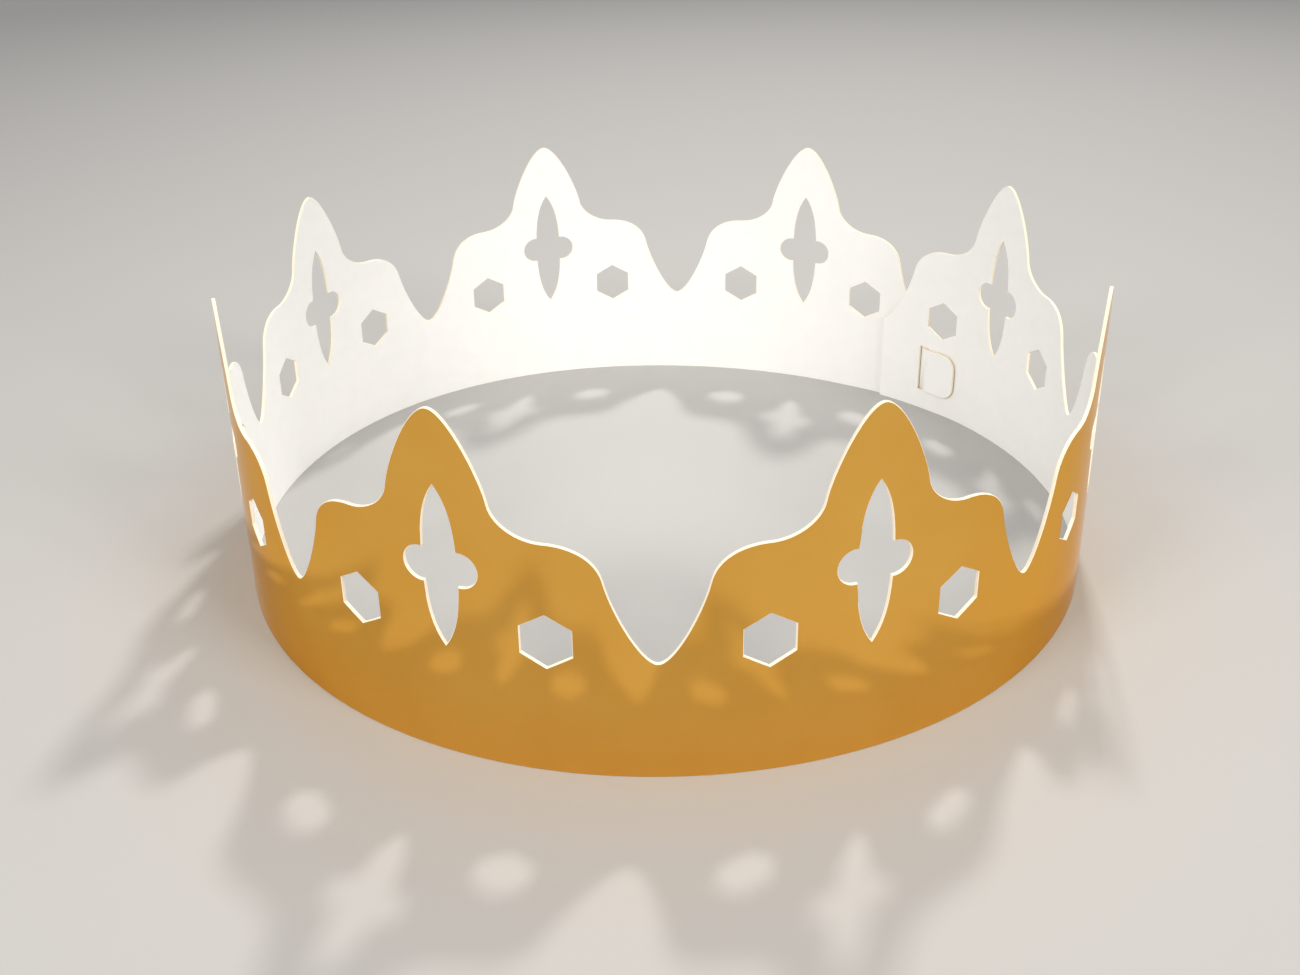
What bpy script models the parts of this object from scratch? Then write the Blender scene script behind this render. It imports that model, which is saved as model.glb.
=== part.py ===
"""Paper crown: one cut strip of foil-faced card, bent into a ring and closed by its own tongue and slit.

The flat card is drawn in the XZ plane. X runs along the strip from the outer end of the seam, Z is up, and the
gold face looks towards -Y. The strip is then bent round the ring path, gold face outwards, standing on Z = 0.
"""

import math
from collections import namedtuple

import bmesh
import bpy
import numpy as np
from mathutils import Matrix, Vector

# Driving dimensions of the flat card, in metres.
CARD_THICKNESS = 0.0007
PEAK_COUNT = 8
PEAK_PITCH = 0.0738
PEAK_HEIGHT = 0.0671
NOTCH_HEIGHT = 0.0233

# Pierced holes of each peak, in metres.
SPINDLE_TIP_MARGIN = 0.0137
SPINDLE_NOTCH_DROP = 0.0007
SPINDLE_WIDTH = 0.0066
LOBE_RADIUS = 0.0033
LOBE_OFFSET = 0.0037
HEXAGON_ACROSS_FLATS = 0.009
HEXAGON_NOTCH_RISE = 0.0033

# Seam that closes the ring, in metres.
LAP_LENGTH = 0.01205
LAP_GAP = 0.0003
TONGUE_LENGTH = 0.012
TONGUE_WIDTH = 0.012
TONGUE_CORNER_RADIUS = 0.0035
TONGUE_CROSSING_LENGTH = 0.0028
SLIT_END_CLEARANCE = 0.0003
SEAM_EASE_LENGTH = 0.014

# Half of a peak's outline from its tip to the bottom of the notch beside it. Each row is a knot, then its handle
# before it and its handle after it. Across is a share of half the pitch, up is a share of the rise above the notch.
HALF_PEAK_SHARES = (
    ((0.0, 1.0), (-0.099, 0.0), (0.099, 0.0)),
    ((0.259, 0.639), (-0.0201, 0.0995), (0.0156, -0.0772)),
    ((0.501, 0.5), (-0.113, 0.0), (0.1257, 0.0)),
    ((0.7642, 0.3527), (-0.0269, 0.0991), (0.0355, -0.1307)),
    ((1.0, 0.0), (-0.0714, 0.0), (0.0714, 0.0)),
)
SPINDLE_TIP_HANDLE_SHARES = (0.667, 0.195)
SPINDLE_SIDE_HANDLE_SHARE = 0.552
HEXAGON_OFFSET_SHARE = 0.495

# The card springs a little out of round. Each row is a wave's count round the ring, then the shares of the mean
# radius by which it swells along its cosine and along its sine.
RING_WAVE_SHARES = (
    (2, 0.015, -0.004),
    (3, 0.006, 0.007),
    (4, -0.0035, 0.0005),
)
FRONT_ANGLE = -math.pi / 2
FRONT_NOTCH = 5

# Fineness of the model.
CURVE_STEPS = 7
LOBE_SIDES = 28
COLUMNS_PER_PEAK = 16
CROSSING_COLUMNS = 6
TONGUE_COLUMNS = 3
PATH_SAMPLES = 2880
SHARP_ANGLE = math.radians(30)
CUT_OVERRUN = 0.002
WELD_DISTANCE = 0.00001

# Sizes that follow from the ones above.
STRIP_LENGTH = PEAK_COUNT * PEAK_PITCH
RING_LENGTH = STRIP_LENGTH - LAP_LENGTH
LAP_STEP = CARD_THICKNESS + LAP_GAP
TONGUE_LEVEL = NOTCH_HEIGHT / 2
SPINDLE_TOP = PEAK_HEIGHT - SPINDLE_TIP_MARGIN
SPINDLE_BOTTOM = NOTCH_HEIGHT - SPINDLE_NOTCH_DROP
CUT_DEPTH = CARD_THICKNESS + 2 * CUT_OVERRUN

# Quarter of a circle as one smooth stretch between two knots.
CIRCLE_HANDLE_SHARE = 0.5523

Knot = namedtuple("Knot", "x z before after")


def corner(x, z):
    """A knot with straight sides."""
    return Knot(x, z, None, None)


def clear_scene():
    """Removes whatever the file holds, so that the part stands alone."""
    for item in list(bpy.data.objects):
        bpy.data.objects.remove(item, do_unlink=True)


def new_collection(name):
    collection = bpy.data.collections.new(name)
    bpy.context.scene.collection.children.link(collection)
    return collection


def new_material(name, colour, roughness, metallic):
    material = bpy.data.materials.new(name)
    material.use_nodes = True
    shader = material.node_tree.nodes["Principled BSDF"]
    shader.inputs["Base Color"].default_value = (*colour, 1.0)
    shader.inputs["Roughness"].default_value = roughness
    shader.inputs["Metallic"].default_value = metallic
    return material


def gold_foil():
    """Mirror-bright metallised face of the card."""
    return new_material("gold_foil", (0.72, 0.42, 0.09), 0.16, 1.0)


def white_card():
    """Plain inner face and cut edges of the card."""
    return new_material("white_card", (0.86, 0.85, 0.82), 0.75, 0.0)


def hide_cutter(item):
    item.hide_render = True
    item.display_type = "WIRE"


def mesh_object(name, form, collection):
    """Makes an object of a bmesh and frees the bmesh."""
    mesh = bpy.data.meshes.new(name)
    form.to_mesh(mesh)
    form.free()
    item = bpy.data.objects.new(name, mesh)
    collection.objects.link(item)
    return item


def prism_cutter(name, knots, collection):
    """A closed outline of knots in the XZ plane, filled, pushed out to the cut depth and welded into a mesh."""
    curve = bpy.data.curves.new(name + "_outline", "CURVE")
    curve.dimensions = "2D"
    curve.fill_mode = "BOTH"
    curve.resolution_u = CURVE_STEPS
    curve.extrude = CUT_DEPTH / 2
    spline = curve.splines.new("BEZIER")
    spline.use_cyclic_u = True
    spline.bezier_points.add(len(knots) - 1)
    for point, knot in zip(spline.bezier_points, knots):
        place = Vector((knot.x, knot.z, 0.0))
        point.co = place
        point.handle_left_type = "FREE" if knot.before else "VECTOR"
        point.handle_right_type = "FREE" if knot.after else "VECTOR"
        if knot.before:
            point.handle_left = place + Vector((*knot.before, 0.0))
        if knot.after:
            point.handle_right = place + Vector((*knot.after, 0.0))
    outline = bpy.data.objects.new(name + "_outline", curve)
    outline.matrix_world = Matrix.Rotation(math.pi / 2, 4, "X")
    collection.objects.link(outline)
    bpy.context.view_layer.update()

    evaluated = outline.evaluated_get(bpy.context.evaluated_depsgraph_get())
    mesh = bpy.data.meshes.new_from_object(evaluated)
    form = bmesh.new()
    form.from_mesh(mesh)
    bpy.data.meshes.remove(mesh)
    bmesh.ops.remove_doubles(form, verts=form.verts, dist=WELD_DISTANCE)
    item = mesh_object(name, form, collection)
    item.matrix_world = outline.matrix_world
    bpy.data.objects.remove(outline, do_unlink=True)
    hide_cutter(item)
    return item


def round_cutter(name, x, z, radius, sides, collection):
    """A cylinder or six-sided bar that runs through the card at one place. Its first corner points up."""
    form = bmesh.new()
    bmesh.ops.create_cone(
        form, cap_ends=True, segments=sides, radius1=radius, radius2=radius, depth=CUT_DEPTH
    )
    item = mesh_object(name, form, collection)
    item.matrix_world = Matrix.Translation((x, 0.0, z)) @ Matrix.Rotation(math.pi / 2, 4, "X")
    hide_cutter(item)
    return item


def block(low, high):
    """A box between two corners, as a bmesh."""
    low, high = Vector(low), Vector(high)
    form = bmesh.new()
    bmesh.ops.create_cube(form, size=1.0)
    bmesh.ops.scale(form, vec=high - low, verts=form.verts)
    bmesh.ops.translate(form, vec=(low + high) / 2, verts=form.verts)
    return form


def half_peak_knots(axis, side):
    """Knots of half a peak from tip to notch, to the right of its axis for side 1 and to the left for -1."""
    across = side * PEAK_PITCH / 2
    rise = PEAK_HEIGHT - NOTCH_HEIGHT
    knots = []
    for place, before, after in HALF_PEAK_SHARES:
        handles = [(dx * across, dz * rise) for dx, dz in (before, after)]
        knots.append(Knot(axis + place[0] * across, NOTCH_HEIGHT + place[1] * rise, *handles))
    return knots


def reverse_knots(knots):
    return [Knot(knot.x, knot.z, knot.after, knot.before) for knot in reversed(knots)]


def crest_knots():
    """The whole top edge of the strip, from the seam's outer end to its inner end."""
    knots = []
    for index in range(PEAK_COUNT):
        axis = (index + 0.5) * PEAK_PITCH
        climb = reverse_knots(half_peak_knots(axis, -1))
        fall = half_peak_knots(axis, 1)
        knots += climb if not knots else climb[1:]
        knots += fall[1:]
    first, last = knots[0], knots[-1]
    knots[0] = Knot(first.x, first.z, None, first.after)
    knots[-1] = Knot(last.x, last.z, last.before, None)
    return knots


def tongue_knots():
    """The outer end's edge from the foot up to the notch, with the tongue standing out to the left."""
    low = TONGUE_LEVEL - TONGUE_WIDTH / 2
    high = TONGUE_LEVEL + TONGUE_WIDTH / 2
    tip = -TONGUE_LENGTH
    radius = TONGUE_CORNER_RADIUS
    reach = CIRCLE_HANDLE_SHARE * radius
    return [
        corner(0.0, low),
        Knot(tip + radius, low, None, (-reach, 0.0)),
        Knot(tip, low + radius, (0.0, -reach), None),
        Knot(tip, high - radius, None, (0.0, reach)),
        Knot(tip + radius, high, (-reach, 0.0), None),
        corner(0.0, high),
    ]


def strip_outline():
    """Outline of the card, run past its foot so that the blank's own edge is the foot."""
    foot = [corner(STRIP_LENGTH, -CUT_OVERRUN), corner(0.0, -CUT_OVERRUN)]
    return foot + tongue_knots() + crest_knots()


def spindle_knots(axis):
    """Pointed lens on a peak's axis."""
    middle = (SPINDLE_TOP + SPINDLE_BOTTOM) / 2
    half_length = (SPINDLE_TOP - SPINDLE_BOTTOM) / 2
    half_width = SPINDLE_WIDTH / 2
    tip_out = SPINDLE_TIP_HANDLE_SHARES[0] * half_width
    tip_in = SPINDLE_TIP_HANDLE_SHARES[1] * half_length
    side = SPINDLE_SIDE_HANDLE_SHARE * half_length
    return [
        Knot(axis, SPINDLE_TOP, (-tip_out, -tip_in), (tip_out, -tip_in)),
        Knot(axis + half_width, middle, (0.0, side), (0.0, -side)),
        Knot(axis, SPINDLE_BOTTOM, (tip_out, tip_in), (-tip_out, tip_in)),
        Knot(axis - half_width, middle, (0.0, -side), (0.0, side)),
    ]


def add_peak_cutters(index, collection):
    """The spindle with its two lobes, and the hexagon on each side of it."""
    axis = (index + 0.5) * PEAK_PITCH
    middle = (SPINDLE_TOP + SPINDLE_BOTTOM) / 2
    hexagon_radius = HEXAGON_ACROSS_FLATS / 2 / math.cos(math.pi / 6)
    hexagon_level = NOTCH_HEIGHT + HEXAGON_NOTCH_RISE
    hexagon_offset = HEXAGON_OFFSET_SHARE * PEAK_PITCH / 2
    prism_cutter(f"spindle_cutter_{index + 1}", spindle_knots(axis), collection)
    for side, word in ((-1, "left"), (1, "right")):
        lobe = f"{word}_lobe_cutter_{index + 1}"
        round_cutter(lobe, axis + side * LOBE_OFFSET, middle, LOBE_RADIUS, LOBE_SIDES, collection)
        hexagon = f"{word}_hexagon_cutter_{index + 1}"
        place = axis + side * hexagon_offset
        round_cutter(hexagon, place, hexagon_level, hexagon_radius, 6, collection)


def add_slit_cutter(collection):
    """The slit near the inner end, through which the tongue passes. It is as wide as the tongue's crossing."""
    reach = TONGUE_WIDTH / 2 + SLIT_END_CLEARANCE
    depth = CUT_DEPTH / 2
    low = (RING_LENGTH - TONGUE_CROSSING_LENGTH, -depth, TONGUE_LEVEL - reach)
    high = (RING_LENGTH, depth, TONGUE_LEVEL + reach)
    hide_cutter(mesh_object("slit_cutter", block(low, high), collection))


def bend_stations():
    """Places along the strip where its faces are divided, so that the bend is round."""
    count = PEAK_COUNT * COLUMNS_PER_PEAK
    stations = {STRIP_LENGTH * step / count for step in range(count)}
    for step in range(CROSSING_COLUMNS + 1):
        back = TONGUE_CROSSING_LENGTH * step / CROSSING_COLUMNS
        stations |= {-back, RING_LENGTH - back}
    flat = TONGUE_LENGTH - TONGUE_CROSSING_LENGTH
    stations |= {-TONGUE_CROSSING_LENGTH - flat * step / TONGUE_COLUMNS for step in range(TONGUE_COLUMNS)}
    return sorted(stations)


def strip_blank(collection):
    """Plain strip of card, divided into upright columns."""
    low = (-TONGUE_LENGTH, -CARD_THICKNESS / 2, 0.0)
    high = (STRIP_LENGTH, CARD_THICKNESS / 2, PEAK_HEIGHT + CUT_OVERRUN)
    form = block(low, high)
    for station in bend_stations():
        everything = form.verts[:] + form.edges[:] + form.faces[:]
        bmesh.ops.bisect_plane(form, geom=everything, plane_co=(station, 0.0, 0.0), plane_no=(1.0, 0.0, 0.0))
    blank = mesh_object("strip_blank", form, collection)
    hide_cutter(blank)
    return blank


def cut_blank(blank, outline, holes):
    """The flat card as a bmesh: the blank inside its outline, with the holes taken out."""
    trim = blank.modifiers.new("trim_to_outline", "BOOLEAN")
    trim.operation = "INTERSECT"
    trim.solver = "EXACT"
    trim.object = outline
    pierce = blank.modifiers.new("pierce_holes", "BOOLEAN")
    pierce.operation = "DIFFERENCE"
    pierce.solver = "EXACT"
    pierce.operand_type = "COLLECTION"
    pierce.collection = holes
    bpy.context.view_layer.update()
    evaluated = blank.evaluated_get(bpy.context.evaluated_depsgraph_get())
    mesh = bpy.data.meshes.new_from_object(evaluated)
    form = bmesh.new()
    form.from_mesh(mesh)
    bpy.data.meshes.remove(mesh)
    bmesh.ops.remove_doubles(form, verts=form.verts, dist=WELD_DISTANCE)
    return form


def ring_path():
    """Points round the ring at equal steps of angle, and the length along it to each, first point repeated."""
    angles = FRONT_ANGLE + np.linspace(0.0, 2 * math.pi, PATH_SAMPLES + 1)
    radius = np.ones_like(angles)
    for count, cosine, sine in RING_WAVE_SHARES:
        radius += cosine * np.cos(count * angles) + sine * np.sin(count * angles)
    points = radius[:, None] * np.stack([np.cos(angles), np.sin(angles)], axis=1)
    lengths = np.concatenate([[0.0], np.cumsum(np.linalg.norm(np.diff(points, axis=0), axis=1))])
    scale = RING_LENGTH / lengths[-1]
    return points * scale, lengths * scale


def smooth_step(value):
    """Rises from 0 to 1 without a corner."""
    value = np.clip(value, 0.0, 1.0)
    return value * value * (3 - 2 * value)


def outer_end_offset(x):
    """How far the outer end stands out from the ring, at x from its edge into the strip."""
    return LAP_STEP / 2 * (1 - smooth_step((x - LAP_LENGTH) / SEAM_EASE_LENGTH))


def inner_end_offset(back):
    """How far the inner end is tucked in, at a distance back from the outer end's edge."""
    return -LAP_STEP / 2 * (1 - smooth_step(back / SEAM_EASE_LENGTH))


def tongue_offset(back):
    """The tongue dives from outside the inner end to inside it over the crossing length."""
    crossing = np.clip(back / TONGUE_CROSSING_LENGTH, 0.0, 1.0)
    return inner_end_offset(back) + LAP_STEP * np.cos(math.pi * crossing)


def layer_offset(x):
    """Offset of the card's middle from the ring path at each place along the strip."""
    lapped = np.where(x < STRIP_LENGTH / 2, outer_end_offset(x), inner_end_offset(RING_LENGTH - x))
    return np.where(x < 0.0, tongue_offset(-x), lapped)


def centre_line(x, path, lengths):
    """Middle of the bent card at each place along the strip."""
    start = FRONT_NOTCH * PEAK_PITCH
    place = np.mod(x - start, RING_LENGTH)
    step = RING_LENGTH / PATH_SAMPLES
    points = path_point(place, path, lengths)
    along = path_point(place + step, path, lengths) - path_point(place - step, path, lengths)
    return points + outward(along) * layer_offset(x)[:, None]


def path_point(place, path, lengths):
    place = np.mod(place, RING_LENGTH)
    return np.stack([np.interp(place, lengths, path[:, axis]) for axis in (0, 1)], axis=1)


def outward(along):
    """Unit normals on the outer side of a path that runs anticlockwise."""
    normals = np.stack([along[:, 1], -along[:, 0]], axis=1)
    return normals / np.linalg.norm(normals, axis=1)[:, None]


def bend(form):
    """Moves each corner of the flat card onto the ring, square to the card's own middle line."""
    path, lengths = ring_path()
    flat = np.array([vertex.co for vertex in form.verts], dtype=float)
    x, y, z = flat.T
    step = RING_LENGTH / PATH_SAMPLES
    middle = centre_line(x, path, lengths)
    along = centre_line(x + step, path, lengths) - centre_line(x - step, path, lengths)
    placed = middle - outward(along) * y[:, None]
    placed -= (placed.min(axis=0) + placed.max(axis=0)) / 2
    for vertex, (east, north), up in zip(form.verts, placed, z):
        vertex.co = (east, north, up)


def face_the_card(form):
    """Gives the gold side its own material, while the card is still flat and that side looks towards -Y."""
    form.normal_update()
    for face in form.faces:
        face.material_index = 0 if face.normal.y < -math.cos(SHARP_ANGLE) else 1


def crown_band(collection, cutters):
    """The whole crown: one card, cut, pierced and bent into its ring."""
    holes = bpy.data.collections.new("crown_holes")
    cutters.children.link(holes)
    outline = prism_cutter("outline_cutter", strip_outline(), cutters)
    for index in range(PEAK_COUNT):
        add_peak_cutters(index, holes)
    add_slit_cutter(holes)
    form = cut_blank(strip_blank(cutters), outline, holes)
    face_the_card(form)
    bend(form)
    band = mesh_object("crown_band", form, collection)
    band.data.materials.append(gold_foil())
    band.data.materials.append(white_card())
    band.data.shade_smooth()
    band.data.set_sharp_from_angle(angle=SHARP_ANGLE)
    return band


def main():
    clear_scene()
    crown = new_collection("paper_crown")
    cutters = new_collection("paper_crown_cutters")
    crown_band(crown, cutters)


main()
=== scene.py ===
"""Looks of the paper crown: bent card with mirror foil, white back and raw cut edges, in a pale studio."""

import logging
import math
from dataclasses import dataclass, field
from enum import Enum
from typing import Any

import bmesh
import bpy
import numpy as np
from mathutils import Matrix, Vector
from mathutils.geometry import delaunay_2d_cdt


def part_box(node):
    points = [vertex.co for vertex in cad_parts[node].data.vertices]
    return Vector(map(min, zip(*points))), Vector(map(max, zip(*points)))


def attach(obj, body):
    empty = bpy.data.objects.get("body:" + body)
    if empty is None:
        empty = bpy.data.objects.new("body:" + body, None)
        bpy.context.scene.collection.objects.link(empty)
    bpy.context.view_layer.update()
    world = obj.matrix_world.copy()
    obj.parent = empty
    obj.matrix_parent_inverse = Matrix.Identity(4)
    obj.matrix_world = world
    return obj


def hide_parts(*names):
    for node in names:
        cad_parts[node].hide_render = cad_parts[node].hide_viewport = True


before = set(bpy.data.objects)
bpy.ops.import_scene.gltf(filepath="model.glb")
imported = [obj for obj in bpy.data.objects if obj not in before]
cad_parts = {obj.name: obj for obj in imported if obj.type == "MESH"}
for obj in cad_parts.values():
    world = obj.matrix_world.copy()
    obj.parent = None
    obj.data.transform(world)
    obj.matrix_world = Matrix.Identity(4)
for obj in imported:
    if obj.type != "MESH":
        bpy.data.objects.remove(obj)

LOG = logging.getLogger("paper_crown")
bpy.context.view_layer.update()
MM = 0.001
Point = tuple[float, float]
Point3 = tuple[float, float, float]
UP: Point3 = (0.0, 0.0, 1.0)

# The sRGB curve: a straight foot up to the knee, and a power above it.
SRGB_KNEE = 0.04045
SRGB_FOOT = 12.92
SRGB_OFFSET = 0.055
SRGB_POWER = 2.4

# Numbers of a colour Mix node's sockets, whose names it shares with its hidden number sockets.
MIX_FIRST = 6
MIX_SECOND = 7
MIX_RESULT = 2
# The same for the whole numbers of a Compare node.
COMPARE_FIRST = 2
COMPARE_SECOND = 3

# The card's face attribute with its finish, and its UV map with the place on the flat card.
FINISH_NUMBER = "finish"
CARD_MAP = "card"
# The cutter's number for triangles over the whole area, the holes too.
CUT_WHOLE_AREA = 0
HEXAGON_SIDES = 6


class CardFace(Enum):
    """Which finish a face of the card takes. The values number its material slots."""

    FOIL = 0
    BACK = 1
    EDGE = 2


def linear(colour: str) -> tuple[float, float, float, float]:
    """Turns an sRGB hex colour into linear light.

    Args:
        colour: Six hex digits after a hash sign.

    Returns:
        Red, green, blue and full alpha.
    """
    parts = [int(colour[place:place + 2], 16) / 255 for place in (1, 3, 5)]
    light = [
        part / SRGB_FOOT if part <= SRGB_KNEE else ((part + SRGB_OFFSET) / (1 + SRGB_OFFSET)) ** SRGB_POWER
        for part in parts
    ]
    return light[0], light[1], light[2], 1.0


def add_node(tree: bpy.types.NodeTree, kind: str, settings: dict[str, Any] | None = None,
             inputs: dict[str | int, Any] | None = None) -> bpy.types.Node:
    """Adds a node with its settings, values and incoming links.

    Args:
        tree: The node tree that takes it.
        kind: The node's type name.
        settings: Attributes of the node, by name.
        inputs: Values or output sockets, by the input's name or number.

    Returns:
        The new node.
    """
    node = tree.nodes.new(kind)
    for name, value in (settings or {}).items():
        setattr(node, name, value)
    for name, value in (inputs or {}).items():
        if isinstance(value, bpy.types.NodeSocket):
            tree.links.new(value, node.inputs[name])
        else:
            node.inputs[name].default_value = value
    return node


def bare_material(name: str) -> tuple[bpy.types.Material, bpy.types.NodeTree, bpy.types.Node]:
    """Makes a material that has nothing but its shader yet.

    Args:
        name: What the material is.

    Returns:
        The material, its node tree and its shader.
    """
    material = bpy.data.materials.new(name)
    material.use_nodes = True
    return material, material.node_tree, material.node_tree.nodes["Principled BSDF"]


def in_scene(name: str, data: bpy.types.ID) -> bpy.types.Object:
    """Makes an object and puts it in the scene.

    Args:
        name: The object's name.
        data: Its mesh, curve, light or camera.

    Returns:
        The new object.
    """
    item = bpy.data.objects.new(name, data)
    bpy.context.scene.collection.objects.link(item)
    return item


@dataclass(frozen=True)
class GoldFoil:
    """Metallised film on card: a gold-tinted mirror, a little soft because the board's fibres show through.

    The roughness drifts slowly over the sheet, and two fine bumps give the board's tooth and the long soft
    waves of the laminate, so that reflections wander and blur as they do in foil card.
    """

    tint: str = "#F3BF5E"
    deep_tint: str = "#E9AB47"
    # The lacquer over the film keeps the gold warm where it is seen from the side.
    edge_tint: str = "#FFE8C0"
    roughness_low: float = 0.05
    roughness_high: float = 0.09
    patch_mm: float = 26.0
    patch_detail: float = 3.0
    patch_breakup: float = 0.55
    # The patches' noise seldom leaves this range, over which the roughness is spread.
    patch_range: Point = (0.3, 0.7)
    # The board's tooth is really about 0.1 mm, too fine to show, and is drawn at 0.45 mm.
    tooth_mm: float = 0.45
    tooth_detail: float = 2.0
    tooth_height_mm: float = 0.006
    wave_mm: float = 19.0
    wave_detail: float = 1.0
    wave_height_mm: float = 0.14

    def material(self) -> bpy.types.Material:
        """Builds the foil's node material.

        Returns:
            The material, which reads the place on the flat card.
        """
        # The metal film mirrors the floor with a gold tint, and the board under it blurs what is far off.
        material, tree, shader = bare_material("mirror_gold_foil_on_card")
        shader.inputs["Metallic"].default_value = 1.0
        shader.inputs["Specular Tint"].default_value = linear(self.edge_tint)
        place = add_node(tree, "ShaderNodeUVMap", {"uv_map": CARD_MAP}).outputs["UV"]
        patches = add_node(tree, "ShaderNodeTexNoise", {}, {
            "Vector": place, "Scale": 1 / (self.patch_mm * MM),
            "Detail": self.patch_detail, "Roughness": self.patch_breakup,
        })
        softness = add_node(tree, "ShaderNodeMapRange", {}, {
            "Value": patches.outputs["Fac"],
            "From Min": self.patch_range[0], "From Max": self.patch_range[1],
            "To Min": self.roughness_low, "To Max": self.roughness_high,
        })
        tree.links.new(softness.outputs["Result"], shader.inputs["Roughness"])
        tint = add_node(tree, "ShaderNodeMix", {"data_type": "RGBA"}, {
            "Factor": patches.outputs["Fac"],
            MIX_FIRST: linear(self.tint), MIX_SECOND: linear(self.deep_tint),
        })
        tree.links.new(tint.outputs[MIX_RESULT], shader.inputs["Base Color"])
        waves = add_node(tree, "ShaderNodeTexNoise", {}, {
            "Vector": place, "Scale": 1 / (self.wave_mm * MM), "Detail": self.wave_detail,
        })
        tooth = add_node(tree, "ShaderNodeTexNoise", {}, {
            "Vector": place, "Scale": 1 / (self.tooth_mm * MM), "Detail": self.tooth_detail,
        })
        wave_bump = add_node(tree, "ShaderNodeBump", {}, {
            "Distance": self.wave_height_mm * MM, "Height": waves.outputs["Fac"],
        })
        tooth_bump = add_node(tree, "ShaderNodeBump", {}, {
            "Distance": self.tooth_height_mm * MM, "Height": tooth.outputs["Fac"],
            "Normal": wave_bump.outputs["Normal"],
        })
        tree.links.new(tooth_bump.outputs["Normal"], shader.inputs["Normal"])
        return material


@dataclass(frozen=True)
class WhiteBoard:
    """Clay-coated white back of the board: matt, bright, with a faint cloudy fibre pattern."""

    colour: str = "#F9F8F6"
    cloud: str = "#F1F0ED"
    roughness: float = 0.62
    # Porous clay reflects a little less than the 0.5 of plain plastic.
    gloss_level: float = 0.35
    cloud_mm: float = 5.0
    cloud_detail: float = 5.0
    cloud_breakup: float = 0.6
    # Single fibres are about 0.03 mm thick, too fine to show, so these are the lumps that they lie in.
    fibre_mm: float = 0.5
    fibre_detail: float = 3.0
    fibre_height_mm: float = 0.012

    def material(self) -> bpy.types.Material:
        """Builds the board's node material.

        Returns:
            The material, which reads the place on the flat card.
        """
        # The clay coat scatters light evenly, so that the inside stays bright in its own shade.
        material, tree, shader = bare_material("coated_white_board")
        shader.inputs["Roughness"].default_value = self.roughness
        shader.inputs["Specular IOR Level"].default_value = self.gloss_level
        place = add_node(tree, "ShaderNodeUVMap", {"uv_map": CARD_MAP}).outputs["UV"]
        clouds = add_node(tree, "ShaderNodeTexNoise", {}, {
            "Vector": place, "Scale": 1 / (self.cloud_mm * MM),
            "Detail": self.cloud_detail, "Roughness": self.cloud_breakup,
        })
        tone = add_node(tree, "ShaderNodeMix", {"data_type": "RGBA"}, {
            "Factor": clouds.outputs["Fac"],
            MIX_FIRST: linear(self.colour), MIX_SECOND: linear(self.cloud),
        })
        tree.links.new(tone.outputs[MIX_RESULT], shader.inputs["Base Color"])
        fibres = add_node(tree, "ShaderNodeTexNoise", {}, {
            "Vector": place, "Scale": 1 / (self.fibre_mm * MM), "Detail": self.fibre_detail,
        })
        bump = add_node(tree, "ShaderNodeBump", {}, {
            "Distance": self.fibre_height_mm * MM, "Height": fibres.outputs["Fac"],
        })
        tree.links.new(bump.outputs["Normal"], shader.inputs["Normal"])
        return material


@dataclass(frozen=True)
class CutBoardEdge:
    """Raw edge that the die leaves: warm cream pulp, dry and rough, with the plies just showing."""

    pulp: str = "#FCF2DE"
    ply: str = "#F3E3C7"
    roughness: float = 0.9
    # Pulp grains are about 0.1 mm, too fine to show, and are drawn at 0.35 mm.
    grain_mm: float = 0.35
    grain_detail: float = 4.0
    grain_breakup: float = 0.65

    def material(self) -> bpy.types.Material:
        """Builds the edge's node material.

        Returns:
            The material, which reads the place in space, because a cut has no width on the flat card.
        """
        # Bare pulp gives the thin cream line that follows every cut.
        material, tree, shader = bare_material("raw_cut_board_edge")
        shader.inputs["Roughness"].default_value = self.roughness
        place = add_node(tree, "ShaderNodeTexCoord").outputs["Object"]
        grain = add_node(tree, "ShaderNodeTexNoise", {}, {
            "Vector": place, "Scale": 1 / (self.grain_mm * MM),
            "Detail": self.grain_detail, "Roughness": self.grain_breakup,
        })
        tone = add_node(tree, "ShaderNodeMix", {"data_type": "RGBA"}, {
            "Factor": grain.outputs["Fac"],
            MIX_FIRST: linear(self.pulp), MIX_SECOND: linear(self.ply),
        })
        tree.links.new(tone.outputs[MIX_RESULT], shader.inputs["Base Color"])
        return material


@dataclass(frozen=True)
class MattBackdrop:
    """Plain pale studio floor: matt painted board without a pattern to compete with the crown."""

    colour: str = "#B4B2B0"
    roughness: float = 0.85

    def material(self) -> bpy.types.Material:
        """Builds the floor's node material.

        Returns:
            The material, the same all over.
        """
        # Matt paint takes soft shadows and shows no highlight.
        material, _, shader = bare_material("matt_pale_floor")
        shader.inputs["Base Color"].default_value = linear(self.colour)
        shader.inputs["Roughness"].default_value = self.roughness
        return material


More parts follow.
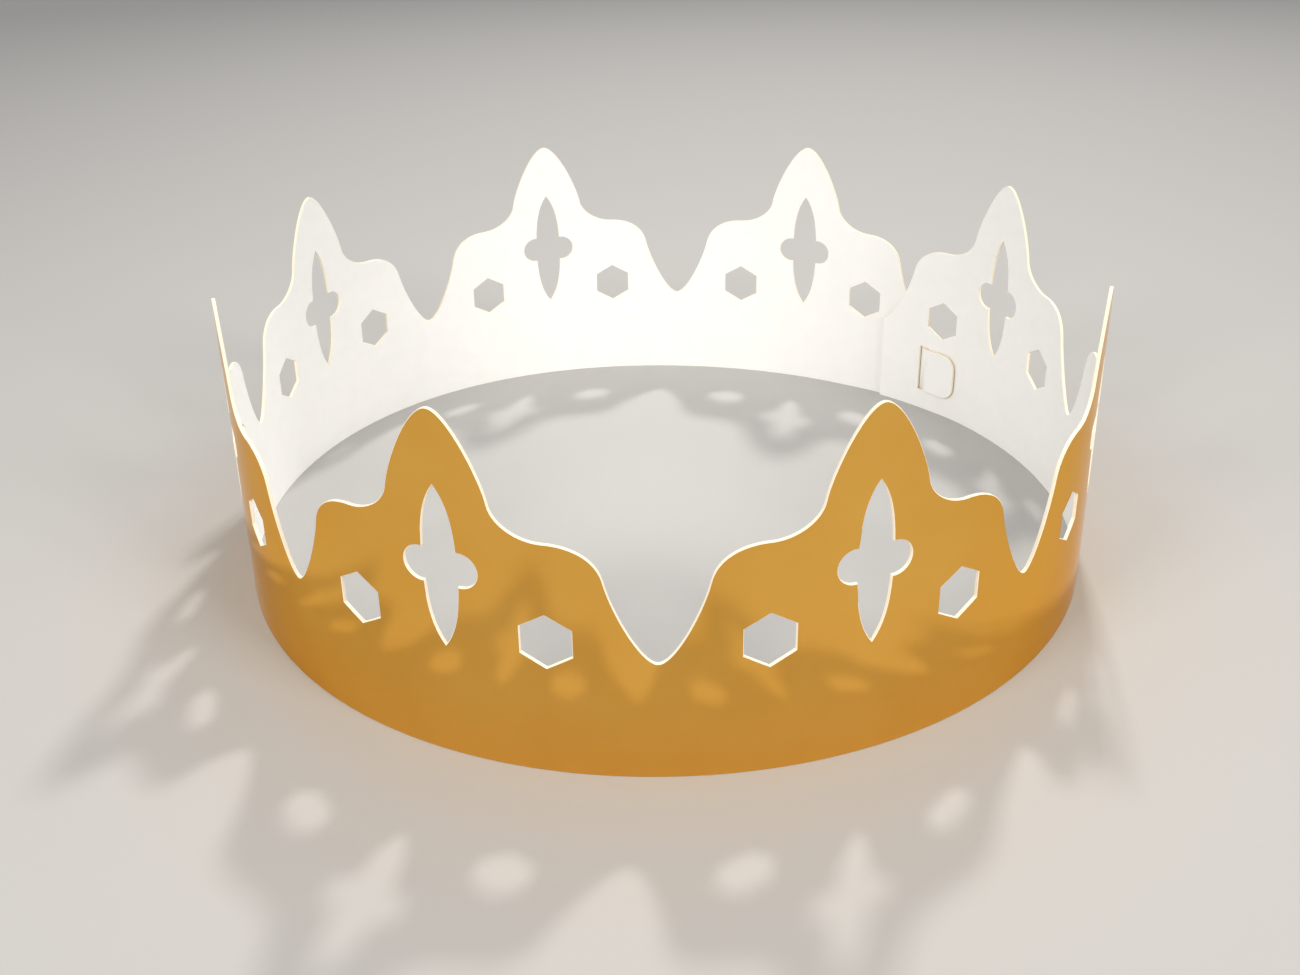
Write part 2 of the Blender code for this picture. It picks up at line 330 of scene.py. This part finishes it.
@dataclass
class FlatCard:
    """The cut strip before it is bent: eight points with their pierced holes, a tongue and its slit.

    Its sizes are those of the solid. Only the slopes at the cuts and the finer steps are its own. Places
    along it count from the outer end, which the tongue leaves backwards. The slit is near the inner end.
    """

    peak_height: float
    peaks: int = 8
    pitch: float = 73.8 * MM
    notch_height: float = 23.3 * MM
    thickness: float = 0.7 * MM
    lap: float = 12.05 * MM
    # The slot's tips stay this far under the peak's tip and go this far under the notch's level.
    spindle_tip_margin: float = 13.7 * MM
    spindle_notch_drop: float = 0.7 * MM
    spindle_width: float = 6.6 * MM
    lobe_radius: float = 3.3 * MM
    lobe_offset: float = 3.7 * MM
    hexagon_across_flats: float = 9.0 * MM
    hexagon_notch_rise: float = 3.3 * MM
    hexagon_offset_share: float = 0.495
    tongue_length: float = 12.0 * MM
    tongue_width: float = 12.0 * MM
    tongue_corner_radius: float = 3.5 * MM
    # Length of tongue that crosses from the outside to the inside, and the air above and below it.
    crossing_length: float = 2.8 * MM
    slit_clearance: float = 0.3 * MM
    # Slopes that the die leaves at each cut, on the gold side and on the white side.
    foil_slope: float = 0.12 * MM
    back_slope: float = 0.08 * MM
    # Width of the narrow columns that bend, and how far their lines run past the card.
    column: float = 0.9 * MM
    line_overshoot: float = MM
    # Points nearer than this are cut as one.
    weld_distance: float = 1e-7
    # Pieces of each curved stretch, and rounds in which corners that would fold are drawn in half as far.
    curve_steps: int = 20
    settle_rounds: int = 24
    # Knots of a peak's edge from its tip to the notch: the place, the handle before and the handle after, in
    # shares of half the pitch and of the rise from notch to tip.
    half_peak_shares: tuple[tuple[Point, Point, Point], ...] = (
        ((0.0, 1.0), (-0.099, 0.0), (0.099, 0.0)),
        ((0.259, 0.639), (-0.0201, 0.0995), (0.0156, -0.0772)),
        ((0.501, 0.5), (-0.113, 0.0), (0.1257, 0.0)),
        ((0.7642, 0.3527), (-0.0269, 0.0991), (0.0355, -0.1307)),
        ((1.0, 0.0), (-0.0714, 0.0), (0.0714, 0.0)),
    )
    # Handles of the slot's blade at its tip and at its side, in shares of its half width and half length.
    spindle_tip_shares: Point = (0.667, 0.195)
    spindle_side_share: float = 0.552

    @property
    def length(self) -> float:
        """Length of the strip without its tongue."""
        return self.peaks * self.pitch

    @property
    def ring_length(self) -> float:
        """Length once round the closed ring."""
        return self.length - self.lap

    @property
    def tongue_level(self) -> float:
        """Height of the tongue's middle."""
        return self.notch_height / 2

    def half_peak(self) -> list[Point]:
        """Draws the right half of a peak's edge from the tip to the notch.

        Returns:
            Its points, along from the peak's axis and up from the foot.
        """
        across, rise = self.pitch / 2, self.peak_height - self.notch_height
        scale = np.array([across, rise])
        knots = [[np.array(part) * scale for part in knot] for knot in self.half_peak_shares]
        points: list[Point] = []
        for (start, _, leave), (end, arrive, _) in zip(knots, knots[1:]):
            points += cubic(start, start + leave, end + arrive, end, self.curve_steps)[:-1]
        points.append((across, 0.0))
        return [(x, self.notch_height + z) for x, z in points]

    def outline(self) -> list[Point]:
        """Draws the closed outline of the strip.

        Returns:
            Its points, anticlockwise from the foot of its outer end.
        """
        half = self.half_peak()
        crest: list[Point] = []
        for peak in range(self.peaks):
            axis = (peak + 0.5) * self.pitch
            left = [(axis - x, z) for x, z in reversed(half)]
            right = [(axis + x, z) for x, z in half]
            crest += left[:-1] + right[:-1]
        crest.append((self.length, self.notch_height))
        low = self.tongue_level - self.tongue_width / 2
        high = self.tongue_level + self.tongue_width / 2
        radius = self.tongue_corner_radius
        turn = [math.pi / 2 * step / self.curve_steps for step in range(self.curve_steps + 1)]
        centre = radius - self.tongue_length
        upper = [(centre - radius * math.sin(a), high - radius + radius * math.cos(a)) for a in turn]
        lower = [(centre - radius * math.cos(a), low + radius - radius * math.sin(a)) for a in turn]
        tongue = [(0.0, high)] + upper + lower + [(0.0, low)]
        return [(0.0, 0.0), (self.length, 0.0)] + crest[::-1] + tongue

    def spindle(self, axis: float) -> list[Point]:
        """Draws a pointed slot with a round lobe on each side, as one outline.

        Args:
            axis: Place of the peak's axis along the strip.

        Returns:
            The closed outline.
        """
        top = self.peak_height - self.spindle_tip_margin
        bottom = self.notch_height - self.spindle_notch_drop
        middle, reach, width = (top + bottom) / 2, (top - bottom) / 2, self.spindle_width / 2
        tip = np.array([0.0, reach])
        side = np.array([width, 0.0])
        tip_handle = np.array([self.spindle_tip_shares[0] * width, -self.spindle_tip_shares[1] * reach])
        side_handle = np.array([0.0, self.spindle_side_share * reach])
        blade = cubic(tip, tip + tip_handle, side + side_handle, side, self.curve_steps)
        offset, radius = self.lobe_offset, self.lobe_radius
        blade = [point for point in blade if math.dist(point, (offset, 0.0)) > radius]
        x, z = blade[-1]
        start = math.atan2(z, x - offset)
        turn = [start * (1 - step / self.curve_steps) for step in range(self.curve_steps)]
        lobe = [(offset + radius * math.cos(a), radius * math.sin(a)) for a in turn]
        quarter = blade + lobe + [(offset + radius, 0.0)]
        lower = [(x, -z) for x, z in quarter[-2::-1]]
        right = quarter + lower
        left = [(-x, z) for x, z in right[-2:0:-1]]
        return [(axis + x, middle + z) for x, z in right + left]

    def hexagon(self, axis: float) -> list[Point]:
        """Draws a hexagon that stands on a corner.

        Args:
            axis: Place of its middle along the strip.

        Returns:
            The closed outline.
        """
        radius = self.hexagon_across_flats / 2 / math.cos(math.pi / HEXAGON_SIDES)
        level = self.notch_height + self.hexagon_notch_rise
        turn = [math.pi / 2 + math.tau / HEXAGON_SIDES * side for side in range(HEXAGON_SIDES)]
        return [(axis + radius * math.cos(a), level + radius * math.sin(a)) for a in turn]

    def slit(self) -> list[Point]:
        """Draws the slit near the inner end that the tongue goes through.

        Returns:
            The closed outline.
        """
        reach = self.tongue_width / 2 + self.slit_clearance
        low, high = self.tongue_level - reach, self.tongue_level + reach
        left, right = self.ring_length - self.crossing_length, self.ring_length
        return [(left, low), (right, low), (right, high), (left, high)]

    def holes(self) -> list[list[Point]]:
        """Draws everything that is pierced through the card.

        Returns:
            The closed outlines.
        """
        found = [self.slit()]
        offset = self.hexagon_offset_share * self.pitch / 2
        for peak in range(self.peaks):
            axis = (peak + 0.5) * self.pitch
            found += [self.spindle(axis), self.hexagon(axis - offset), self.hexagon(axis + offset)]
        return found

    def bend_lines(self, loops: list[list[Point]]) -> list[float]:
        """Finds the places along the strip of the lines that it bends on.

        Args:
            loops: The outline and the holes. A line that nearly meets the side of one is moved onto it.

        Returns:
            The places, from the tongue's end on.
        """
        reach = self.length + self.tongue_length
        count = math.ceil(reach / self.column)
        places = reach * np.arange(1, count) / count - self.tongue_length
        for loop in loops:
            along = np.array(loop)[:, 0]
            turns = (along - np.roll(along, 1)) * (np.roll(along, -1) - along) <= 0
            for side in along[turns]:
                gaps = np.abs(places - side)
                if gaps.min() < self.column / 2:
                    places[gaps.argmin()] = side
        return places.tolist()

    def mesh(self) -> bpy.types.Mesh:
        """Cuts the card into narrow columns that can bend, gives it its thickness and marks its faces.

        Returns:
            The solid card, still flat: along, from foil to back, and up.
        """
        loops = [self.outline()] + self.holes()
        points: list[Vector] = []
        edges: list[tuple[int, int]] = []
        for loop in loops:
            first = len(points)
            points += [Vector(point) for point in loop]
            edges += [(first + step, first + (step + 1) % len(loop)) for step in range(len(loop))]
        low, high = -self.line_overshoot, self.peak_height + self.line_overshoot
        for x in self.bend_lines(loops):
            edges.append((len(points), len(points) + 1))
            points += [Vector((x, low)), Vector((x, high))]
        places, _, faces, *_ = delaunay_2d_cdt(points, edges, [], CUT_WHOLE_AREA, self.weld_distance, False)
        flat = np.array([tuple(place) for place in places])
        triangles = np.array(faces)
        kept = triangles[inside(flat[triangles].mean(axis=1), loops)]
        used, numbers = np.unique(kept, return_inverse=True)
        return self.thicken(flat[used], numbers.reshape(kept.shape))

    def rim(self, flat: np.ndarray, triangles: np.ndarray) -> tuple[list[list[int]], np.ndarray]:
        """Finds the cut line and the way inwards from each point on it.

        Args:
            flat: Points of the flat card, along and up.
            triangles: Rows of three point numbers, anticlockwise.

        Returns:
            The pairs of points that the cut line joins, with the card on their left, and for each point the
            step that moves both of its cuts inwards by one.
        """
        sides = np.concatenate([triangles[:, [0, 1]], triangles[:, [1, 2]], triangles[:, [2, 0]]]).tolist()
        seen = {tuple(side) for side in sides}
        cuts = [side for side in sides if (side[1], side[0]) not in seen]
        total = np.zeros_like(flat)
        for start, end in cuts:
            along = flat[end] - flat[start]
            left = np.array((-along[1], along[0])) / np.linalg.norm(along)
            total[start] += left
            total[end] += left
        square = (total**2).sum(axis=1, keepdims=True)
        return cuts, 2 * total / np.maximum(square, 1.0)

    def drawn_in(self, flat: np.ndarray, triangles: np.ndarray, step: np.ndarray) -> list[Point]:
        """Moves the card's cuts inwards, less where a small corner would fold over.

        Args:
            flat: Points of the flat card, along and up.
            triangles: Rows of three point numbers, anticlockwise.
            step: The full step of each point.

        Returns:
            The moved points.
        """
        moved = flat + step
        for _ in range(self.settle_rounds):
            first = moved[triangles[:, 0]]
            base = moved[triangles[:, 1]] - first
            side = moved[triangles[:, 2]] - first
            folded = base[:, 0] * side[:, 1] <= base[:, 1] * side[:, 0]
            corners = np.unique(triangles[folded])
            moved[corners] = (moved[corners] + flat[corners]) / 2
        return [(x, z) for x, z in moved.tolist()]

    def thicken(self, flat: np.ndarray, triangles: np.ndarray) -> bpy.types.Mesh:
        """Builds the solid card from its flat triangles, with the slopes that the die leaves at its cuts.

        Args:
            flat: Points of the flat card, along and up.
            triangles: Rows of three point numbers, anticlockwise.

        Returns:
            The mesh, with a finish number on each face and the flat place in its UV map.
        """
        cuts, inward = self.rim(flat, triangles)
        half, count = self.thickness / 2, len(flat)
        layers = (
            (-half, self.foil_slope),
            (-half + self.foil_slope, 0.0),
            (half - self.back_slope, 0.0),
            (half, self.back_slope),
        )
        places: list[Point3] = []
        for depth, inset in layers:
            places += [(x, depth, z) for x, z in self.drawn_in(flat, triangles, inward * inset)]
        last = (len(layers) - 1) * count
        faces = [tuple(row) for row in triangles.tolist()]
        faces += [(c + last, b + last, a + last) for a, b, c in triangles.tolist()]
        finishes = [CardFace.FOIL.value] * len(triangles) + [CardFace.BACK.value] * len(triangles)
        for layer in range(len(layers) - 1):
            near, far = layer * count, (layer + 1) * count
            faces += [(end + near, start + near, start + far, end + far) for start, end in cuts]
            finishes += [CardFace.EDGE.value] * len(cuts)
        mesh = bpy.data.meshes.new("flat_card")
        mesh.from_pydata(places, [], faces)
        mesh.attributes.new(FINISH_NUMBER, "INT", "FACE").data.foreach_set("value", finishes)
        card = mesh.uv_layers.new(name=CARD_MAP)
        for loop in mesh.loops:
            x, depth, z = places[loop.vertex_index]
            card.uv[loop.index].vector = (x + depth, z)
        mesh.shade_smooth()
        return mesh


def cubic(start: np.ndarray, leave: np.ndarray, arrive: np.ndarray, end: np.ndarray,
          steps: int) -> list[Point]:
    """Gives points along a smooth stretch.

    Args:
        start: First point.
        leave: Handle of the first point.
        arrive: Handle of the last point.
        end: Last point.
        steps: Count of pieces.

    Returns:
        One point more than the pieces.
    """
    share = np.linspace(0.0, 1.0, steps + 1)[:, None]
    rest = 1 - share
    points = start * rest**3 + 3 * leave * share * rest**2 + 3 * arrive * share**2 * rest + end * share**3
    return [(float(x), float(z)) for x, z in points]


def inside(points: np.ndarray, loops: list[list[Point]]) -> np.ndarray:
    """Tells which points lie on the card and not in a hole.

    Args:
        points: Places to test.
        loops: The outline and the holes.

    Returns:
        A true or false for each point.
    """
    odd = np.zeros(len(points), dtype=bool)
    for loop in loops:
        corners = np.array(loop)
        for (x0, z0), (x1, z1) in zip(corners, np.roll(corners, -1, axis=0)):
            if z0 == z1:
                continue
            spans = (z0 > points[:, 1]) != (z1 > points[:, 1])
            crossing = x0 + (points[:, 1] - z0) * (x1 - x0) / (z1 - z0)
            odd ^= spans & (points[:, 0] < crossing)
    return odd


MATH = "ShaderNodeMath"
EASE = "ShaderNodeMapRange"
SWITCH = "GeometryNodeSwitch"
SMOOTH = {"interpolation_type": "SMOOTHSTEP", "clamp": True}
NUMBER = {"input_type": "FLOAT"}
# Sums of the bending tree in order: the result's name, its node with the settings, and what goes in. A text
# stands for a named input or an earlier result. Where the ends lap, the outer end stands half a step out and
# the inner end half a step in, and each eases back to the path beyond the lap. The tongue's root goes in
# through the slit along half a wave, and the rest of the tongue lies inside, against the white side.
SEAM_STEPS: tuple[tuple[str, str, dict[str, Any], tuple[str | float, ...]], ...] = (
    ("half step", MATH, {"operation": "MULTIPLY"}, ("Lap Step", 0.5)),
    ("tucked", MATH, {"operation": "MULTIPLY"}, ("half step", -1.0)),
    ("eased in", MATH, {"operation": "ADD"}, ("Lap Length", "Ease Length")),
    ("outer end", EASE, SMOOTH, ("Along", "Lap Length", "eased in", "half step", 0.0)),
    ("to inner end", MATH, {"operation": "SUBTRACT"}, ("Ring Length", "Along")),
    ("inner end", EASE, SMOOTH, ("to inner end", 0.0, "Ease Length", "tucked", 0.0)),
    ("into tongue", MATH, {"operation": "MULTIPLY"}, ("Along", -1.0)),
    ("under", EASE, SMOOTH, ("into tongue", 0.0, "Ease Length", "tucked", 0.0)),
    ("crossing", MATH, {"operation": "DIVIDE"}, ("into tongue", "Crossing Length")),
    ("crossed", MATH, {"operation": "MINIMUM"}, ("crossing", 1.0)),
    ("half turn", MATH, {"operation": "MULTIPLY"}, ("crossed", math.pi)),
    ("dive", MATH, {"operation": "COSINE"}, ("half turn",)),
    ("dive step", MATH, {"operation": "MULTIPLY"}, ("dive", "Lap Step")),
    ("tongue", MATH, {"operation": "ADD"}, ("under", "dive step")),
    ("middle", MATH, {"operation": "MULTIPLY"}, ("Strip Length", 0.5)),
    ("past middle", MATH, {"operation": "GREATER_THAN"}, ("Along", "middle")),
    ("lapped", SWITCH, NUMBER, ("past middle", "outer end", "inner end")),
    ("on tongue", MATH, {"operation": "LESS_THAN"}, ("Along", 0.0)),
    ("offset", SWITCH, NUMBER, ("on tongue", "lapped", "tongue")),
    ("push", MATH, {"operation": "SUBTRACT"}, ("offset", "Depth")),
    ("from front", MATH, {"operation": "SUBTRACT"}, ("Along", "Front Place")),
    ("path place", MATH, {"operation": "FLOORED_MODULO"}, ("from front", "Ring Length")),
)


@dataclass
class RingPath:
    """The line that the card is bent round: a circle that springs a little out of round."""

    length: float
    samples: int = 1440
    # Waves once round the ring, with the shares of the radius that go with their cosine and sine.
    wave_shares: tuple[tuple[int, float, float], ...] = (
        (2, 0.015, -0.004),
        (3, 0.006, 0.007),
        (4, -0.0035, 0.0005),
    )

    def object(self) -> bpy.types.Object:
        """Makes the path as a closed poly curve that starts at the front.

        Returns:
            The curve's object.
        """
        angles = -math.pi / 2 + np.linspace(0.0, 2 * math.pi, self.samples + 1)
        radius = np.ones_like(angles)
        for count, cosine, sine in self.wave_shares:
            radius += cosine * np.cos(count * angles) + sine * np.sin(count * angles)
        points = radius[:, None] * np.stack([np.cos(angles), np.sin(angles)], axis=1)
        scale = self.length / np.linalg.norm(np.diff(points, axis=0), axis=1).sum()
        curve = bpy.data.curves.new("ring_path", "CURVE")
        curve.dimensions = "3D"
        spline = curve.splines.new("POLY")
        spline.points.add(self.samples - 1)
        for point, (x, y) in zip(spline.points, points * scale):
            point.co = (x, y, 0.0, 1.0)
        spline.use_cyclic_u = True
        return in_scene("ring_path", curve)


@dataclass
class CrownBand:
    """The whole crown: the flat card bent round its path, with its ends lapped and the tongue put through."""

    card: FlatCard
    # The notch that faces the camera, counted from the strip's outer end.
    front_notch: int = 5
    lap_gap: float = 0.3 * MM
    ease: float = 14.0 * MM
    sharp_angle: float = math.radians(35)
    finishes: tuple[GoldFoil, WhiteBoard, CutBoardEdge] = (GoldFoil(), WhiteBoard(), CutBoardEdge())
    sockets: dict[str, str] = field(default_factory=dict)

    def bending_tree(self, materials: list[bpy.types.Material]) -> bpy.types.NodeTree:
        """Builds the geometry nodes that bend the card.

        Args:
            materials: One for each kind of face, in the order of their numbers.

        Returns:
            The node tree, whose named inputs are kept in self.sockets by name.
        """
        tree = bpy.data.node_groups.new("bend_card_round_ring", "GeometryNodeTree")
        tree.interface.new_socket("Geometry", in_out="INPUT", socket_type="NodeSocketGeometry")
        socket = tree.interface.new_socket("Ring Path", in_out="INPUT", socket_type="NodeSocketObject")
        self.sockets["Ring Path"] = socket.identifier
        for name in self.sizes():
            socket = tree.interface.new_socket(name, in_out="INPUT", socket_type="NodeSocketFloat")
            self.sockets[name] = socket.identifier
        tree.interface.new_socket("Geometry", in_out="OUTPUT", socket_type="NodeSocketGeometry")
        given = add_node(tree, "NodeGroupInput").outputs
        place = add_node(tree, "GeometryNodeInputPosition").outputs[0]
        parts = add_node(tree, "ShaderNodeSeparateXYZ", {}, {0: place}).outputs
        known = {name: given[name] for name in self.sizes()}
        known |= {"Along": parts["X"], "Depth": parts["Y"]}
        for name, node, settings, values in SEAM_STEPS:
            inputs = {slot: known.get(value, value) for slot, value in enumerate(values)}
            known[name] = add_node(tree, node, settings, inputs).outputs[0]
        path = add_node(tree, "GeometryNodeObjectInfo", {}, {0: given["Ring Path"]}).outputs["Geometry"]
        sample = add_node(tree, "GeometryNodeSampleCurve", {"mode": "LENGTH", "use_all_curves": True}, {
            "Curves": path, "Length": known["path place"],
        })
        outward = add_node(tree, "ShaderNodeVectorMath", {"operation": "CROSS_PRODUCT"}, {
            0: sample.outputs["Tangent"], 1: UP,
        }).outputs[0]
        pushed = add_node(tree, "ShaderNodeVectorMath", {"operation": "SCALE"}, {
            0: outward, "Scale": known["push"],
        }).outputs[0]
        lifted = add_node(tree, "ShaderNodeCombineXYZ", {}, {"Z": parts["Z"]}).outputs[0]
        total = sample.outputs["Position"]
        for part in (pushed, lifted):
            total = add_node(tree, "ShaderNodeVectorMath", {"operation": "ADD"}, {
                0: total, 1: part,
            }).outputs[0]
        shape = add_node(tree, "GeometryNodeSetPosition", {}, {
            0: given["Geometry"], "Position": total,
        }).outputs[0]
        shape = add_node(tree, "GeometryNodeRealizeInstances", {}, {0: shape}).outputs[0]
        finish = add_node(tree, "GeometryNodeInputNamedAttribute", {"data_type": "INT"}, {
            "Name": FINISH_NUMBER,
        }).outputs[0]
        for kind, material in zip(CardFace, materials):
            chosen = add_node(tree, "FunctionNodeCompare", {"data_type": "INT", "operation": "EQUAL"}, {
                COMPARE_FIRST: finish, COMPARE_SECOND: kind.value,
            })
            shape = add_node(tree, "GeometryNodeSetMaterial", {}, {
                0: shape, "Selection": chosen.outputs[0], "Material": material,
            }).outputs[0]
        add_node(tree, "NodeGroupOutput", {}, {0: shape})
        return tree

    def sizes(self) -> dict[str, float]:
        """Lists the bending tree's named inputs.

        Returns:
            Their values in metres, by name.
        """
        return {
            "Strip Length": self.card.length,
            "Ring Length": self.card.ring_length,
            "Front Place": self.front_notch * self.card.pitch,
            "Lap Length": self.card.lap,
            "Lap Step": self.card.thickness + self.lap_gap,
            "Ease Length": self.ease,
            "Crossing Length": self.card.crossing_length,
        }

    def build(self) -> bpy.types.Object:
        """Bends the card, makes the result a plain mesh and centres it as the solid is centred.

        Returns:
            The finished piece, which replaces the solid.
        """
        materials = [finish.material() for finish in self.finishes]
        flat = in_scene("flat_card", self.card.mesh())
        for material in materials:
            flat.data.materials.append(material)
        path = RingPath(self.card.ring_length).object()
        bend = flat.modifiers.new("bend", "NODES")
        bend.node_group = self.bending_tree(materials)
        bend[self.sockets["Ring Path"]] = path
        for name, value in self.sizes().items():
            bend[self.sockets[name]] = value
        bpy.context.view_layer.update()
        evaluated = flat.evaluated_get(bpy.context.evaluated_depsgraph_get())
        mesh = bpy.data.meshes.new_from_object(evaluated)
        bpy.data.objects.remove(flat, do_unlink=True)
        bpy.data.objects.remove(path, do_unlink=True)
        places = np.array([tuple(vertex.co) for vertex in mesh.vertices])
        low, high = places.min(axis=0), places.max(axis=0)
        cad_low, cad_high = (np.array(corner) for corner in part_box("crown_band"))
        shift = (cad_low + cad_high - low - high) / 2
        mesh.transform(Matrix.Translation((float(shift[0]), float(shift[1]), 0.0)))
        mesh.set_sharp_from_angle(angle=self.sharp_angle)
        band = in_scene("foil_card_band", mesh)
        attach(band, "root")
        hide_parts("crown_band")
        return band


@dataclass(frozen=True)
class Softbox:
    """A square soft light that faces one place. A narrow spread keeps its light in a pool."""

    name: str
    place: Point3
    aim: Point3
    size: float
    power: float
    colour: str
    spread: float

    def hang(self) -> bpy.types.Object:
        """Makes the light and turns it to its aim.

        Returns:
            The light's object.
        """
        data = bpy.data.lights.new(self.name, "AREA")
        data.size = self.size
        data.energy = self.power
        data.color = linear(self.colour)[:3]
        data.spread = self.spread
        light = in_scene(self.name, data)
        facing = (Vector(self.aim) - Vector(self.place)).to_track_quat("-Z", "Y")
        light.matrix_world = Matrix.Translation(self.place) @ facing.to_matrix().to_4x4()
        return light


@dataclass
class Studio:
    """Pale floor, soft lights, and the camera at the photograph's angle."""

    floor_size: float = 40.0
    # The photograph's frame, and the lens, place and tilt that were fitted to the crown in it.
    image_width: int = 1300
    image_height: int = 975
    sensor: float = 36.0
    focal_pixels: float = 1319.2
    camera_mm: Point3 = (0.9163, -271.335, 153.511)
    yaw: float = -0.0369
    pitch: float = 0.4015
    roll: float = -0.0267
    principal: Point = (618.5, 366.0)
    clip_start: float = 0.01
    air_colour: str = "#F1F1F0"
    horizon_strength: float = 0.35
    zenith_strength: float = 0.75
    # The air brightens from the horizon up to this height, as a share of straight up.
    zenith_from: float = 0.70
    transform: str = "Standard"
    exposure: float = 0.0
    # Two lights in front fill the white inside, and one high behind throws the points' shadows forwards.
    softboxes: tuple[Softbox, ...] = (
        Softbox(
            "left_key", place=(-0.40, -0.46, 0.40), aim=(0.03, 0.04, 0.03),
            size=0.24, power=0.52, colour="#FFFCF7", spread=math.radians(85),
        ),
        Softbox(
            "right_key", place=(0.42, -0.44, 0.40), aim=(-0.03, 0.04, 0.03),
            size=0.24, power=0.59, colour="#FFFCF7", spread=math.radians(85),
        ),
        Softbox(
            "back_key", place=(0.22, 0.85, 1.05), aim=(0.0, 0.02, 0.0),
            size=0.12, power=2.15, colour="#FFFDF8", spread=math.radians(90),
        ),
    )

    def floor(self) -> bpy.types.Object:
        """Lays the floor under the crown.

        Returns:
            The floor's object.
        """
        form = bmesh.new()
        bmesh.ops.create_grid(form, x_segments=1, y_segments=1, size=self.floor_size / 2)
        mesh = bpy.data.meshes.new("studio_floor")
        form.to_mesh(mesh)
        form.free()
        mesh.materials.append(MattBackdrop().material())
        floor = in_scene("studio_floor", mesh)
        return floor

    def camera(self) -> bpy.types.Object:
        """Places the camera where the photograph was taken from.

        Returns:
            The camera's object.
        """
        look = Vector((
            math.sin(self.yaw) * math.cos(self.pitch),
            math.cos(self.yaw) * math.cos(self.pitch),
            -math.sin(self.pitch),
        ))
        level = Vector((math.cos(self.yaw), -math.sin(self.yaw), 0.0))
        rise = level.cross(look)
        right = level * math.cos(self.roll) + rise * math.sin(self.roll)
        up = rise * math.cos(self.roll) - level * math.sin(self.roll)
        turn = Matrix((right, up, -look)).transposed().to_4x4()
        data = bpy.data.cameras.new("camera")
        data.sensor_width = self.sensor
        data.sensor_fit = "HORIZONTAL"
        data.lens = self.focal_pixels / self.image_width * self.sensor
        data.shift_x = (self.image_width / 2 - self.principal[0]) / self.image_width
        data.shift_y = (self.principal[1] - self.image_height / 2) / self.image_width
        data.clip_start = self.clip_start
        camera = in_scene("camera", data)
        camera.matrix_world = Matrix.Translation(Vector(self.camera_mm) * MM) @ turn
        bpy.context.scene.camera = camera
        return camera

    def lights(self) -> None:
        """Hangs the soft lights, sets the pale air round them and how the picture's colours are shown."""
        for softbox in self.softboxes:
            softbox.hang()
        scene = bpy.context.scene
        scene.world = bpy.data.worlds.new("studio_air")
        scene.world.use_nodes = True
        tree = scene.world.node_tree
        background = tree.nodes["Background"]
        background.inputs["Color"].default_value = linear(self.air_colour)
        direction = add_node(tree, "ShaderNodeTexCoord").outputs["Generated"]
        height = add_node(tree, "ShaderNodeSeparateXYZ", {}, {0: direction}).outputs["Z"]
        brightness = add_node(tree, "ShaderNodeMapRange", {"interpolation_type": "SMOOTHSTEP"}, {
            "Value": height, "From Min": 0.0, "From Max": self.zenith_from,
            "To Min": self.horizon_strength, "To Max": self.zenith_strength,
        }).outputs["Result"]
        tree.links.new(brightness, background.inputs["Strength"])
        scene.view_settings.view_transform = self.transform
        scene.view_settings.exposure = self.exposure


def main() -> None:
    """Builds the crown and the studio round it."""
    logging.basicConfig(level=logging.INFO, format="%(name)s: %(message)s")
    low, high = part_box("crown_band")
    card = FlatCard(peak_height=high[2] - low[2])
    band = CrownBand(card).build()
    LOG.info("%s: %d faces", band.name, len(band.data.polygons))
    studio = Studio()
    floor = studio.floor()
    LOG.info("%s laid", floor.name)
    studio.camera()
    studio.lights()


if __name__ == "__main__":
    main()
